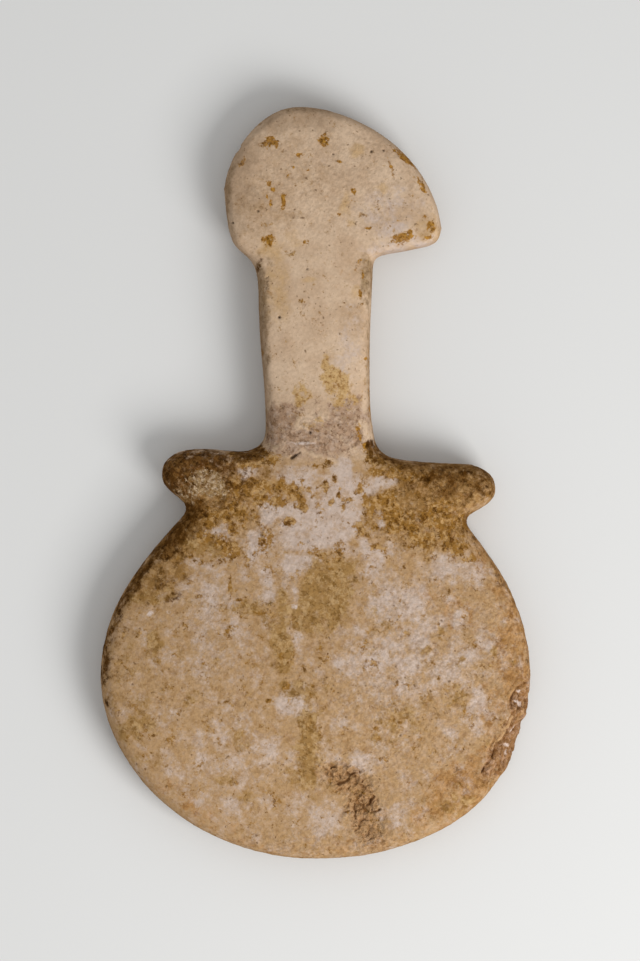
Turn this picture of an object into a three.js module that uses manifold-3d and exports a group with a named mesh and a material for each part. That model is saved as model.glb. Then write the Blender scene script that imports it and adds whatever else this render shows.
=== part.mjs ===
import * as THREE from 'three';
import { LoftGeometry } from 'three/addons/geometries/LoftGeometry.js';
import { mergeVertices } from 'three/addons/utils/BufferGeometryUtils.js';
import Module from 'manifold-3d';

// A flat marble idol, lying on its back with its carved front up. +Y runs up to the head, +X to the right
// as the front is seen, and +Z out of the front. The origin is under the middle of the stone, on the plane
// that its back rests on.

// Driving dimensions, in millimetres

const HEIGHT = 200;
const WIDTH = 114.6;
const CROWN_X = -4.7;
const RIM_LEVEL = 6.5;
const BACK_EDGE = 5;

const TOP = HEIGHT / 2;
const BASE = -HEIGHT / 2;
const SIDE = WIDTH / 2;

// The outline from the crown to the base, in stretches that run down both sides at once. Each stretch is a
// curve that goes on from the one before it, with one or two handles and then its end. Rungs is the number
// of lines across the stone along the stretch. Sag is how far the last of them bends down in the middle, to
// stay inside the hollow between the neck and the arms.
const STRETCHES = {
  dome: {
    left: [[-16.8, TOP], [-25.9, 82.4], [-24, 75.6]],
    right: [[11.2, TOP], [31.7, 86.8], [33.5, 67.6]],
    rungs: 15,
  },
  tip: {
    left: [[-23.7, 70.3], [-22.6, 65.7]],
    right: [[33.4, 63.8], [30.3, 63.2]],
    rungs: 4,
  },
  jaw: {
    left: [[-21.8, 62.7], [-18.8, 60.9]],
    right: [[22, 61.3], [16.1, 60.6]],
    rungs: 4,
  },
  notch: {
    left: [[-15.2, 58.9], [-15.1, 51.6]],
    right: [[15.1, 60.4], [15.1, 57.7]],
    rungs: 5,
  },
  neck: {
    left: [[-15.1, 37], [-12.8, 24], [-13.2, 12.7]],
    right: [[14.9, 48], [13.2, 24], [15.3, 12.7]],
    rungs: 8,
  },
  shoulder: {
    left: [[-13.3, 10], [-17, 7.4], [-22, 8.2]],
    right: [[15.7, 7.5], [19, 6], [26.4, 5.6]],
    rungs: 7,
    sag: 2,
  },
  armTop: {
    left: [[-29.9, 9.5], [-35.3, 8.5]],
    right: [[33.5, 5.1], [40.2, 4.8]],
    rungs: 5,
    sag: 4,
  },
  armTip: {
    left: [[-41, 7.3], [-43.5, 1.1], [-38.4, -2.5]],
    right: [[47, 4.6], [50.5, -1.8], [46.4, -5.1]],
    rungs: 10,
  },
  armUnder: {
    left: [[-35.6, -4.4], [-34.4, -5.8]],
    right: [[43.9, -7.1], [40.2, -8.7]],
    rungs: 4,
  },
  armpit: {
    left: [[-33.6, -6.7], [-34.4, -7.8]],
    right: [[39.1, -9.9], [40.2, -11.3]],
    rungs: 4,
  },
  flank: {
    left: [[-47.5, -22], [-SIDE, -33.8], [-SIDE, -52]],
    right: [[50.8, -24.7], [SIDE, -34.7], [SIDE, -54.7]],
    rungs: 12,
  },
  belly: {
    left: [[-56.8, -76], [-32.6, BASE], [0, BASE]],
    right: [[SIDE, -79.4], [35.8, BASE], [0, BASE]],
    rungs: 20,
  },
};

// The side view, from the crown down: at each height, the level of the front face above the ground, how
// much higher the face is in its middle, how wide its rounded edge is, and how far the back is clear of
// the ground.
const SIDE_VIEW = [
  { y: TOP, face: 11.5, bulge: 0.4, edge: 2, lift: 1.6 },
  { y: 76, face: 13, bulge: 1.2, edge: 2, lift: 1.2 },
  { y: 36, face: 14, bulge: 1.6, edge: 2.2, lift: 1 },
  { y: 2, face: 12.6, bulge: 3.8, edge: 4, lift: 0 },
  { y: -50, face: 12.8, bulge: 4.8, edge: 4.2, lift: 0 },
  { y: BASE, face: 11.6, bulge: 0.6, edge: 4, lift: 0 },
];

// The lines across the stone: the points along each one, closer together towards the rim, and how strongly
// the lines themselves crowd towards the crown and the base, where the outline closes.
const RUNG_STEPS = 18;
const CROWDING = 1.5;

// Three flakes broken off the right rim, each by a point of the rim and the way that it faces in degrees. A
// scar is a shallow bowl of its own radius. Its middle lies inset from the rim, at the scar level, and
// looks up by the scar's tilt.
const FLAKES = [
  { x: 57.2, y: -58.4, facing: -4, radius: 7, inset: 3.6 },
  { x: 54.6, y: -68.6, facing: -22, radius: 18, inset: 4.4 },
  { x: 49.7, y: -78.3, facing: -38, radius: 10, inset: 2.6 },
];
const SCAR_LEVEL = 8.4;
const SCAR_TILT = 25;

// Weathered hollows that run together into one eroded patch low on the front.
const HOLLOWS = [
  { x: 4.6, y: -76.2, radius: 3 },
  { x: 8.2, y: -78, radius: 3.6 },
  { x: 12.4, y: -78.8, radius: 2.8 },
  { x: 10, y: -81.8, radius: 3.4 },
  { x: 9.4, y: -85.4, radius: 2.8 },
  { x: 13.2, y: -86, radius: 3.6 },
  { x: 11, y: -89.8, radius: 3.2 },
  { x: 15.4, y: -90.4, radius: 3.4 },
  { x: 13.4, y: -94, radius: 3 },
];
const HOLLOW_DEPTH = 0.9;

// Fineness of the balls that cut them: how often each face of an icosahedron is divided.
const FLAKE_DETAIL = 4;
const HOLLOW_DETAIL = 2;

// Outline

function curvesOf(side) {
  const path = new THREE.Path();
  path.moveTo(CROWN_X, TOP);
  for (const stretch of Object.values(STRETCHES)) {
    const points = stretch[side];
    const numbers = points.flat();
    if (points.length === 2) path.quadraticCurveTo(...numbers);
    else path.bezierCurveTo(...numbers);
  }
  return path.curves;
}

// Lines across the stone, each from its left end over its middle to its right end. The one at the base has
// no length, so it is left out.
function rungsAcross() {
  const leftCurves = curvesOf('left');
  const rightCurves = curvesOf('right');
  const last = leftCurves.length - 1;
  const rungs = [];
  let sagBefore = 0;
  Object.values(STRETCHES).forEach(({ rungs: count, sag = 0 }, index) => {
    for (let step = 1; step <= count; step += 1) {
      let along = step / count;
      if (index === 0) along **= CROWDING;
      if (index === last) along = 1 - (1 - along) ** CROWDING;
      const left = leftCurves[index].getPoint(along);
      const right = rightCurves[index].getPoint(along);
      const middle = left.clone().lerp(right, 0.5);
      middle.y -= THREE.MathUtils.lerp(sagBefore, sag, along);
      rungs.push({ left, middle, right });
    }
    sagBefore = sag;
  });
  rungs.pop();
  return rungs;
}

function rimOf(rungs) {
  const corners = [...rungs.map((rung) => rung.left), ...rungs.map((rung) => rung.right).reverse()];
  const flat = corners.map((corner) => new THREE.Vector3(corner.x, corner.y, 0));
  return flat.map((corner, index) => new THREE.Line3(corner, flat[(index + 1) % flat.length]));
}

function depthInside(rim, x, y) {
  const point = new THREE.Vector3(x, y, 0);
  const nearest = new THREE.Vector3();
  let depth = Infinity;
  for (const edge of rim) {
    edge.closestPointToPoint(point, true, nearest);
    depth = Math.min(depth, nearest.distanceTo(point));
  }
  return depth;
}

// Form of the front and the back

function sideViewAt(y) {
  const index = Math.max(1, SIDE_VIEW.findIndex((station) => station.y <= y));
  const above = SIDE_VIEW[index - 1];
  const below = SIDE_VIEW[index];
  const share = THREE.MathUtils.smoothstep(y, below.y, above.y);
  const blend = (key) => THREE.MathUtils.lerp(below[key], above[key], share);
  return { face: blend('face'), bulge: blend('bulge'), edge: blend('edge'), lift: blend('lift') };
}

function rounding(depth, width) {
  return Math.sqrt(1 - Math.max(0, 1 - depth / width) ** 2);
}

// One closed ring of points around the stone: over the front from right to left, then back underneath.
function ringAt(rung, rim) {
  const front = [];
  const back = [];
  for (let step = 0; step <= RUNG_STEPS; step += 1) {
    const across = Math.cos((step / RUNG_STEPS) * Math.PI);
    const end = across > 0 ? rung.right : rung.left;
    const place = rung.middle.clone().lerp(end, Math.abs(across));
    const depth = depthInside(rim, place.x, place.y);
    const { face, bulge, edge, lift } = sideViewAt(place.y);
    const rise = (face - RIM_LEVEL) * rounding(depth, edge) + bulge * (1 - across ** 2);
    const fall = (RIM_LEVEL - lift) * rounding(depth, BACK_EDGE);
    front.push(new THREE.Vector3(place.x, place.y, RIM_LEVEL + rise));
    back.push(new THREE.Vector3(place.x, place.y, RIM_LEVEL - fall));
  }
  return [...front, ...back.reverse().slice(1, -1)];
}

function slabGeometry() {
  const rungs = rungsAcross();
  const rim = rimOf(rungs);
  const rings = rungs.map((rung) => ringAt(rung, rim));
  return new LoftGeometry(rings, { capStart: true, capEnd: true });
}

// Breaks and wear, as balls that cut them

function flakeCutter({ x, y, facing, radius, inset }) {
  return new THREE.IcosahedronGeometry(radius, FLAKE_DETAIL)
    .translate(radius, 0, 0)
    .rotateY(-THREE.MathUtils.degToRad(SCAR_TILT))
    .translate(-inset, 0, 0)
    .rotateZ(THREE.MathUtils.degToRad(facing))
    .translate(x, y, SCAR_LEVEL);
}

function hollowCutter({ x, y, radius }, slab) {
  const above = new THREE.Vector3(x, y, HEIGHT);
  const down = new THREE.Vector3(0, 0, -1);
  const [hit] = new THREE.Raycaster(above, down).intersectObject(slab);
  return new THREE.IcosahedronGeometry(radius, HOLLOW_DETAIL)
    .scale(1, 1, HOLLOW_DEPTH / radius)
    .translate(x, y, hit.point.z);
}

// Solids

const wasm = await Module();
wasm.setup();

function solidOf(geometry) {
  const bare = new THREE.BufferGeometry();
  bare.setAttribute('position', geometry.getAttribute('position'));
  bare.setIndex(geometry.index);
  const merged = mergeVertices(bare);
  return new wasm.Manifold(new wasm.Mesh({
    numProp: 3,
    vertProperties: merged.attributes.position.array,
    triVerts: new Uint32Array(merged.index.array),
  }));
}

function geometryOf(solid) {
  const { vertProperties, triVerts } = solid.getMesh();
  const geometry = new THREE.BufferGeometry();
  geometry.setAttribute('position', new THREE.BufferAttribute(vertProperties, 3));
  geometry.setIndex(new THREE.BufferAttribute(triVerts, 1));
  geometry.computeVertexNormals();
  return geometry;
}

function idolGeometry() {
  const slabShape = slabGeometry();
  const slab = new THREE.Mesh(slabShape);
  const cutters = [
    ...FLAKES.map((flake) => flakeCutter(flake)),
    ...HOLLOWS.map((hollow) => hollowCutter(hollow, slab)),
  ];
  let stone = solidOf(slabShape);
  for (const cutter of cutters) stone = stone.subtract(solidOf(cutter));
  return geometryOf(stone);
}

const marble = new THREE.MeshStandardMaterial({ color: 0xae8e6b, roughness: 0.8, metalness: 0 });

const idol = new THREE.Mesh(idolGeometry(), marble);
idol.name = 'idol';

const figure = new THREE.Group();
figure.add(idol);

export default figure;
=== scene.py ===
import math
from collections import namedtuple

import bmesh
import bpy
import numpy as np
from mathutils import Euler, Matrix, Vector, noise


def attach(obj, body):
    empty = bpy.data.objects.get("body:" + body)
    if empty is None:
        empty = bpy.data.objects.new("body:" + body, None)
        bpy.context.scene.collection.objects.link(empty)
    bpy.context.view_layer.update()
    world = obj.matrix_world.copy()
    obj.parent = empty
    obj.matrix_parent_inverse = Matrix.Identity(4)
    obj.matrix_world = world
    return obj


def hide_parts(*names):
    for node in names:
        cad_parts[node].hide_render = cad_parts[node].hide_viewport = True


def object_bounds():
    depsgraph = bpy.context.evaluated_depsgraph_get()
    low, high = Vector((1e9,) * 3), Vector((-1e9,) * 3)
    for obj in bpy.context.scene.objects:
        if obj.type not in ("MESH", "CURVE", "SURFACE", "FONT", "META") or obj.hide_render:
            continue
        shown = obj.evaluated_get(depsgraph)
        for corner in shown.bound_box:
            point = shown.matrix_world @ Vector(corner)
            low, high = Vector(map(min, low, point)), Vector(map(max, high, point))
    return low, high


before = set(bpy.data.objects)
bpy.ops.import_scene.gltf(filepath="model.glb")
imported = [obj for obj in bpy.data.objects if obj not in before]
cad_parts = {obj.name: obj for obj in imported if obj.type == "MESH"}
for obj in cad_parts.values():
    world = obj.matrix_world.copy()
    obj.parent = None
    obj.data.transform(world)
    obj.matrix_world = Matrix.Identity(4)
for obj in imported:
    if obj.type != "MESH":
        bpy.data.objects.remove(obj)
cad_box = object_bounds()

# A flat marble idol that lies on its back. +Y runs up to the head, +X to the right as the front is seen,
# and +Z out of the front.

# Driving sizes, in metres

MM = 0.001

WELD = 0.01 * MM
GRID = 1.15 * MM
RIM_LEVEL = 6.5 * MM
FLOOR_HALF = 3.0
LIGHT_PLACE = (0.55, -0.5, 0.6)
LIGHT_SIZE = 0.5
CAMERA_HEIGHT = 1.5

# The light's power in watts, the brightness of the surroundings, and the camera's sensor in millimetres

LIGHT_POWER = 7.2
SURROUNDING_COLOUR = (1, 1, 1, 1)
SURROUNDING_LIGHT = 0.55
SENSOR_WIDTH = 36

# The floor's finish

FLOOR_COLOUR = (0.72, 0.72, 0.71, 1)
FLOOR_ROUGHNESS = 0.9
FLOOR_GLOSS = 0.1

# Rounds of smoothing: over the whole stone, over all of it that isn't broken or eroded, over the flat faces
# of that, and after the front is made finer. Then how far each round goes, and how squarely a flat face
# looks up or down.

FIRST_ROUNDS = 1
WHOLE_ROUNDS = 4
FLAT_ROUNDS = 30
FINE_ROUNDS = 2
SMOOTH_FACTOR = 0.5
FLAT_FROM = 0.9

# The picture, in pixels: its size, and the box of the stone in it

PICTURE_WIDTH = 640
PICTURE_HEIGHT = 961
STONE_LEFT = 100.3
STONE_RIGHT = 530.8
STONE_TOP = 107.4
STONE_BOTTOM = 858.1

# Stains and wear on the front, in millimetres. Each row is an oval patch: the x and y of its middle, half
# its length, half its width, the turn of its length from the x axis in degrees, and its strength.

# White-lilac stone that is bare of crust.
CHALK = [
    # thin over whole stretches of the body
    (30, -43, 20, 16, 0, 0.4),
    (13, -55, 15, 13, 0, 0.25),
    (-30, -56, 18, 24, 0, 0.16),
    (-27, -39, 8, 9, 0, 0.2),
    (-18, -78, 20, 13, 0, 0.25),
    (-24, -29, 16, 11, 0, 0.3),
    (1, -10, 13, 14, 0, 0.35),
    # chest
    (8, 1.7, 3.2, 5, 0, 1),
    (17, -0.4, 5, 2.3, 5, 1),
    (-4.5, 2.4, 6.5, 2.8, 0, 0.55),
    (7, -4, 7, 3.6, 0, 0.75),
    (0, -6.5, 3, 3, 0, 0.6),
    (3.5, -11, 7.5, 5.5, 0, 0.75),
    (6.5, -15.5, 2.6, 2.2, 0, 0.9),
    (9, -9, 3, 4, 0, 0.5),
    (-8, -8, 6, 2.8, 0, 0.6),
    (-4.5, -14.5, 6, 3, 0, 0.75),
    (-17, -17, 2.2, 4.4, 0, 0.95),
    (-18, 3, 3.2, 1.7, 0, 1),
    (-12.8, -7.8, 2.4, 4, 0, 1),
    (-26.5, -13.2, 4.6, 2.6, 0, 1),
    (-19.3, -4.9, 1, 0.9, 0, 0.8),
    (-4.5, -21.8, 4.8, 2.4, 0, 0.85),
    (-14.5, -15, 3.4, 4, 0, 0.8),
    # islands under the right arm
    (17.5, -10.6, 1.4, 2.4, 0, 0.8),
    (20, -16.2, 1.8, 1.5, 0, 0.75),
    # left of the body
    (-28.8, -31, 2, 8, 0, 0.8),
    (-22.5, -39.5, 2.4, 2.2, 0, 0.5),
    (-33.4, -24.3, 2.4, 4, 0, 0.85),
    (-13, -30.6, 2.4, 1.9, 0, 0.85),
    (-13.2, -24.8, 1.8, 2.2, 0, 0.85),
    (-8.3, -25.8, 1.2, 1.7, 0, 0.8),
    (-5.7, -27.5, 0.9, 1.8, 0, 0.7),
    (-4, -43, 1.9, 3.2, 0, 0.7),
    (-6.3, -59, 4.5, 3.7, 0, 0.9),
    (-17, -41, 1.4, 1.6, 0, 0.5),
    # right of the body
    (17, -22, 4.4, 5.4, 0, 0.85),
    (13.5, -17, 2.2, 2, 0, 0.7),
    (22, -31.5, 4.5, 4, 0, 0.95),
    (20.5, -30, 6.5, 6, 0, 0.5),
    (38, -23, 9, 3.4, -12, 0.7),
    (42.8, -25.8, 2, 1.8, 0, 0.7),
    (28.2, -37.6, 2.6, 2.8, 0, 0.85),
    (26.9, -42.2, 3, 2.2, 0, 0.8),
    (38.8, -36.5, 2.6, 2.4, 0, 0.6),
    (44.9, -42.2, 2.4, 3, 0, 0.75),
    (41, -45.5, 3, 2.4, 0, 0.7),
    (18.8, -45.5, 5.5, 3.4, 10, 0.9),
    (27, -47.5, 4.2, 3.2, 0, 0.7),
    (36, -51, 4.4, 4.6, 0, 0.8),
    (42.6, -60, 3, 5, -20, 0.9),
    (8.4, -43.5, 2, 2, 0, 0.85),
    (6, -48, 2, 1.6, 0, 0.65),
    # low on the left
    (-26, -68.5, 2, 2.4, 0, 0.6),
    (-13, -71.7, 5, 4, 15, 0.75),
    (-30, -74, 2, 1.6, 0, 0.45),
    (-23, -85, 3.2, 2, -10, 0.6),
    # low on the right
    (2.4, -87.5, 4.6, 5.2, 0, 0.72),
    (11.5, -74, 7, 2.4, -3, 0.8),
    (6, -64.5, 2, 2, 0, 0.65),
    (24.5, -79, 2.4, 2.4, 0, 0.5),
    (21.5, -88, 2, 3, 0, 0.5),
    (37, -66, 2.7, 2, 0, 0.5),
    # head and neck
    (23, 63, 11, 2.2, 9, 1),
    (20, 71.5, 10.5, 7.5, 0, 0.76),
    (9.5, 36, 4, 12, 0, 0.64),
]

# Olive-brown wash over the shoulders and down the left flank.
WASH = [
    (-37, -17.5, 15, 6, 54, 0.8),
    (-26.5, -6, 10.5, 8.5, 0, 0.65),
    (-13.5, 0, 12, 6, 0, 0.5),
    (30, -8, 16.5, 10.5, 0, 0.75),
    (35, 1, 16, 6, -5, 0.9),
    (20, -4.5, 8, 8, 0, 0.4),
    (-52.5, -44.5, 6, 22.5, 0, 0.35),
    (-40, -27, 8, 4.8, 20, 0.75),
]

# Golden brown stain on the right arm, along the right flank and along the lower edge, with painted warm light
# on the right and lower rims.
GOLD_AND_RIM_LIGHT = [
    (41, -4.8, 7, 2, 20, 0.6),
    (53, -44, 5.5, 20, 5, 0.9),
    (46.5, -22, 3.7, 12, 30, 0.7),
    (39, -81, 16, 8, 42, 0.85),
    (4, -97, 32, 4.5, 0, 0.3),
    (-31, -87, 16, 3.7, -38, 0.5),
    (27, -1.5, 6, 3.2, 0, 0.5),
    (47, -60, 4, 9, 0, 0.6),
    (34, -33, 12, 7, -20, 0.5),
]

# Olive-brown stain with a soft edge.
OLIVE = [
    # middle of the body
    (3.6, -28.4, 6.8, 9.2, 0, 1),
    (8, -22, 3.7, 3.7, 0, 0.5),
    (0.5, -37.5, 4.8, 3.2, 0, 0.6),
    (-4, -36, 2.6, 3.6, 0, 1),
    (-2.4, -31, 2.2, 4, 0, 0.9),
    # down from the middle
    (-2, -67.7, 3, 12.8, 0, 1),
    (-4, -78.7, 5, 2.7, 0, 0.7),
    (-9, -44.5, 2.8, 6, 0, 1),
    (-10.6, -39.5, 3.4, 4.4, 0, 0.95),
    (-8.6, -30, 2, 2, 0, 0.8),
    (-4.2, -53, 1.2, 1.2, 0, 0.8),
    (-17, -33, 10, 2.6, -3, 0.65),
    (-8.4, -53.6, 1.3, 1.6, 0, 0.75),
    (-6, -55, 2.4, 2, 0, 0.7),
    # left of the body
    (-46, -48, 9, 14, 0, 0.2),
    (-46, -70, 8, 9, 0, 0.2),
    (-42.6, -43.2, 2.2, 3, -20, 1),
    (-26, -47, 1, 1.6, 0, 0.7),
    (-33, -56.5, 2, 2.7, 0, 0.5),
    (-48, -65.5, 5, 3.2, 20, 0.6),
    (-42, -30.5, 8, 3, 5, 0.5),
    (-28.5, -17, 9, 4, 0, 0.65),
    (-25, -79, 2.7, 1.6, 0, 0.4),
    (-18.5, -83.7, 2.7, 1.9, -20, 0.7),
    (-21, -68.3, 3.7, 2.4, -20, 0.6),
    # right of the body
    (15.6, -33.6, 1, 1.4, 0, 0.8),
    (17, -38.7, 2.6, 2.4, 0, 0.5),
    (29.4, -44.3, 1.6, 1.3, 0, 0.75),
    (33.4, -40, 1.1, 2.4, 0, 0.6),
    (38.8, -46.7, 1.1, 0.9, 20, 0.9),
    (47.2, -44.4, 1.1, 1.2, 0, 0.9),
    (36.5, -56.5, 5, 4, 0, 0.55),
    (23.5, -62, 7.5, 4.5, 0, 0.48),
    (17, -68.5, 4, 2.4, -30, 0.45),
    (27, -57, 2.4, 4, 0, 0.35),
    (36, -86, 6.4, 3.2, 10, 0.55),
]

# Dark ochre in grains and ragged islands.
OCHRE = [
    # left of the chest
    (-24, -6.5, 12.3, 8, 0, 0.25),
    (-21, -6.5, 4, 2.6, 0, 0.9),
    (-25.5, -9.5, 4.5, 2, -15, 0.85),
    (-23, -17.5, 2.6, 2.2, 0, 0.9),
    (-29, -14.5, 2.4, 2, 0, 0.5),
    (-22, -12.2, 2, 1.3, -40, 0.85),
    (-15, -0.8, 10.5, 2.4, 0, 1),
    (-14, 5.4, 3.4, 2, 0, 1),
    (-17.5, 7, 7.5, 2.4, 5, 0.9),
    (-6, -3.5, 2.6, 2.2, -30, 0.85),
    (-9.5, -5.2, 2, 1.4, 0, 0.9),
    (-29, -7.6, 2.6, 1.4, 0, 0.8),
    (-3.6, -5.4, 2, 2.8, 20, 1),
    (-6.6, -10.3, 1.6, 1, 0, 0.95),
    (-14.5, -5, 3.4, 1.8, 0, 0.8),
    (-13.5, -15.5, 2.4, 3.5, 0, 0.7),
    (-1.4, -1.7, 0.9, 1.1, 0, 0.9),
    (-27, -18, 11.7, 5, 0, 0.25),
    (-13, -34.6, 5, 1, -4, 0.45),
    (-22.7, -28, 0.6, 4, 0, 0.75),
    (-22, -31.2, 4.5, 0.6, 15, 0.65),
    (-22.9, -19, 2.8, 1.3, 0, 0.8),
    (-31.3, -30.2, 0.9, 0.7, 0, 0.9),
    (-6.2, -46.5, 0.6, 2.5, 0, 0.85),
    (-12.7, -57.6, 0.9, 0.7, 0, 0.85),
    (-7.6, -54.2, 1, 1, 0, 0.9),
    # islands in the upper chest
    (2.8, -1, 0.7, 2.2, 0, 0.85),
    (5, 0.8, 0.8, 1.4, 0, 0.8),
    (6.3, -2.6, 0.7, 1.5, 0, 0.95),
    (11.7, -1.2, 0.8, 1.5, 0, 1),
    (4, -4.8, 1, 1, 0, 0.95),
    (9, -4.4, 2, 0.7, 0, 0.95),
    (3.8, 5, 1.2, 1.2, 0, 1),
    (-0.2, 4, 1.6, 1, 20, 0.6),
    (7.5, -7.5, 0.7, 1.6, 0, 0.6),
    (-3, -15.5, 1.8, 1, 0, 0.6),
    (13.4, -5, 1, 2.4, 0, 0.8),
    (11.4, -11.2, 1.8, 1.6, 0, 0.9),
    (16, 2.6, 1.8, 1.2, -20, 0.9),
    # right of the chest
    (16.5, 5.5, 6, 3, -35, 0.95),
    (18.5, -6.8, 4.2, 3.4, 0, 0.95),
    (30, -11.4, 13.3, 6.4, 0, 0.8),
    (17, -17.2, 2.2, 1.4, 0, 0.85),
    (37.5, -17.5, 4.5, 2.6, -30, 0.8),
    (25.5, 1.8, 5.3, 2, 0, 0.7),
    (12.5, -14, 2, 1.6, 0, 0.6),
    (3.5, -18.5, 5, 2, 0, 0.65),
]

# Rusty gold spots on the head and the neck.
RUST = [
    # left of the head
    (-12, 90, 2.6, 1.1, 0, 1),
    (-11.7, 91.2, 1.2, 0.9, 0, 0.9),
    (-19.6, 85.3, 1.8, 0.7, 55, 0.95),
    (-4.3, 87, 0.9, 0.6, 0, 0.95),
    (-5.9, 83.9, 0.5, 0.5, 0, 1),
    (-2, 83, 0.6, 0.4, 0, 1),
    (-7.2, 81.2, 1, 0.5, 45, 0.7),
    (-12.3, 79.5, 0.9, 0.8, 0, 1),
    (-11.5, 78, 0.8, 0.9, 0, 1),
    (-12.8, 75.8, 0.5, 0.6, 0, 1),
    (-11.9, 74, 0.5, 1, 0, 0.8),
    (-8.6, 74.8, 0.7, 2.6, 0, 1),
    (-12.1, 64, 1.8, 1.7, 0, 0.85),
    (-11.8, 65.2, 0.8, 1, 0, 1),
    (-13.9, 64.4, 0.6, 0.8, 0, 0.9),
    (-2.6, 63.8, 0.8, 0.8, 0, 0.95),
    # right of the head
    (2.5, 91, 1.3, 2, 0, 0.95),
    (9.9, 77.3, 0.9, 0.9, 0, 1),
    (6.4, 85.1, 0.8, 0.5, 0, 0.9),
    (6.4, 70.9, 0.7, 0.5, 0, 0.9),
    (20, 83.5, 3, 0.5, -74, 0.85),
    (23.2, 86.3, 4.3, 0.9, -42, 1),
    (28.3, 79, 3, 0.8, -62, 0.85),
    (14, 67.4, 1.2, 0.5, 0, 0.9),
    (29, 70.5, 1, 0.8, 0, 0.9),
    (30.4, 67.8, 1.2, 1.7, 0, 0.9),
    (30, 65.2, 1.3, 0.5, 8, 0.9),
    (23, 65, 3.6, 1.5, 10, 1),
    (21.5, 69.4, 1, 0.5, 0, 0.6),
    (17.2, 72.9, 1.3, 1.1, 0, 0.5),
    # neck
    (-13.9, 34.8, 0.5, 1.2, 0, 0.9),
    (14.2, 24.5, 0.4, 9.5, 0, 0.7),
    (10, 56.3, 1.2, 0.5, 0, 0.8),
    (11.8, 58.6, 0.5, 1.2, 0, 0.8),
    (12.4, 55, 0.5, 0.9, 0, 0.7),
    (11.8, 50, 0.6, 1.2, 0, 0.8),
    (12.2, 47.4, 0.5, 0.8, 0, 0.7),
    (13.2, 33, 0.6, 0.5, 0, 0.8),
    (11.2, 13.5, 0.7, 2.6, 15, 0.8),
    (13.3, 9.8, 1.2, 1.2, 0, 0.9),
]

# Golden patches low on the neck.
AMBER = [
    (2.6, 32, 1.3, 2.6, 0, 0.9),
    (4.4, 28.2, 3.4, 3, -35, 1),
    (7.8, 26, 2.2, 3.6, 0, 0.9),
    (3.6, 25.4, 2, 2.4, 0, 0.8),
    (-4.5, 24.6, 1.9, 2.6, 0, 0.75),
    (-2, 23.4, 1.4, 1.2, 0, 0.9),
    (-4, 21.3, 2, 1.2, 50, 0.95),
    (7.8, 21.5, 3.8, 2.5, 0, 0.75),
    (-0.6, 15.6, 3.2, 1.6, 0, 0.6),
]

# Dark brown crust with a soft edge.
UMBER = [
    # left arm
    (-32, 3.5, 11.2, 6, 0, 0.95),
    (-39, 5.5, 3, 2.6, 0, 0.75),
    (-17, 0, 6, 2.4, 0, 0.45),
    (-36.5, 1.3, 5.3, 6.4, 0, 0.85),
    (-24, -3.8, 6, 4.3, 0, 0.5),
    (-19, 7.4, 7.5, 1.9, 5, 0.7),
    # armpit and left flank
    (-32.5, -7.5, 4, 2.7, 10, 1),
    (-33.5, -11.6, 2.6, 2.2, 50, 0.9),
    (-36.6, -13.4, 8.5, 4, 52, 1),
    (-46.5, -24.4, 9, 1.8, 57, 0.8),
    (-40, -25.6, 2.6, 3.2, 0, 0.4),
    (-37.2, -30.2, 2.8, 1.8, 30, 0.78),
    (-54, -38.2, 10, 1.5, 66, 0.78),
    (-53.4, -44.5, 3.4, 6, 0, 0.25),
    (-55.7, -48.5, 8, 1.4, 88, 0.72),
    (-55, -58.3, 1.2, 1.8, 0, 0.7),
    (-53.6, -68, 5, 1, -66, 0.5),
    # right arm and shoulder
    (35.5, 0.4, 15.5, 5.4, -5, 0.71),
    (33, 4, 15, 1.9, -4, 0.1),
    (19, 6.5, 6, 2.1, -32, 0.75),
    (31, -11.5, 11.2, 6.4, 0, 0.3),
    (40, -9, 2, 2.4, 0, 0.6),
    (46.5, -22, 15, 1.9, -58, 0.35),
    (44.5, -0.5, 2.6, 3.4, 0, 0.15),
    # right rim
    (56.3, -45, 9, 1, 86, 0.4),
    (45, -80, 8, 1, 45, 0.4),
    # foot of the neck
    (14.2, 9.5, 1.6, 2.4, 0, 0.75),
    (-15, 8.2, 2.7, 2.1, 35, 0.75),
    (-12.4, 11, 0.8, 2.4, 0, 0.6),
    # notch under the head
    (-15, 57.6, 0.8, 2.4, -15, 0.7),
]

# Darker rosy stone on the head, and down the right of the neck.
ROSY = [
    (-9, 83, 11, 12, 0, 0.5),
    (0, 74, 8, 9, 0, 0.25),
    (-14, 70, 8, 9, 0, 0.6),
    (10, 46, 4, 15, 0, 0.45),
    (30, 67.5, 3.4, 4, 0, 0.6),
    (16, 63, 4, 3, 0, 0.2),
]

# Soft ochre clouds on the head and the neck.
FADED = [
    (11.3, 87.8, 2.2, 2.2, 0, 0.95),
    (17.2, 77.6, 2.6, 1.7, 0, 0.95),
    (7.8, 73.7, 1.7, 3.6, 0, 0.85),
    (9.7, 68.5, 1.4, 1.1, 0, 0.8),
    (-6, 64.5, 2.6, 3.6, 0, 0.5),
    (-10, 51, 3.4, 10, 0, 0.65),
    (-12, 62, 3.4, 3.4, 0, 0.8),
    (-1.7, 53.8, 2.3, 0.8, 0, 0.7),
    (11, 50.5, 1.4, 2, 0, 0.6),
    (29.5, 67, 3.5, 4, 0, 0.7),
]

# Soft grey-olive grime on the head and the neck, with painted shade along their rims.
GRIME_AND_SHADE = [
    (-23.4, 77, 1.8, 14, 0, 0.6),
    (-16.5, 74.5, 2.6, 3.4, 0, 0.35),
    (-4, 99.3, 15, 1.3, 0, 0.6),
    (-14.2, 50, 2.4, 11, 0, 0.75),
    (-13.8, 36, 2, 12, 0, 0.5),
    (-13.4, 22, 1.6, 12, 0, 0.35),
    (-11.4, 14.5, 2.4, 5, 0, 0.8),
    (13.4, 54, 2, 6.5, 0, 0.85),
    (13.6, 42, 1.2, 8, 0, 0.4),
    (14.5, 26, 1.2, 14, 0, 0.6),
    (-9, 18, 4.5, 2.4, 0, 0.9),
    (8.5, 15.5, 3, 3, 0, 0.6),
]
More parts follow.
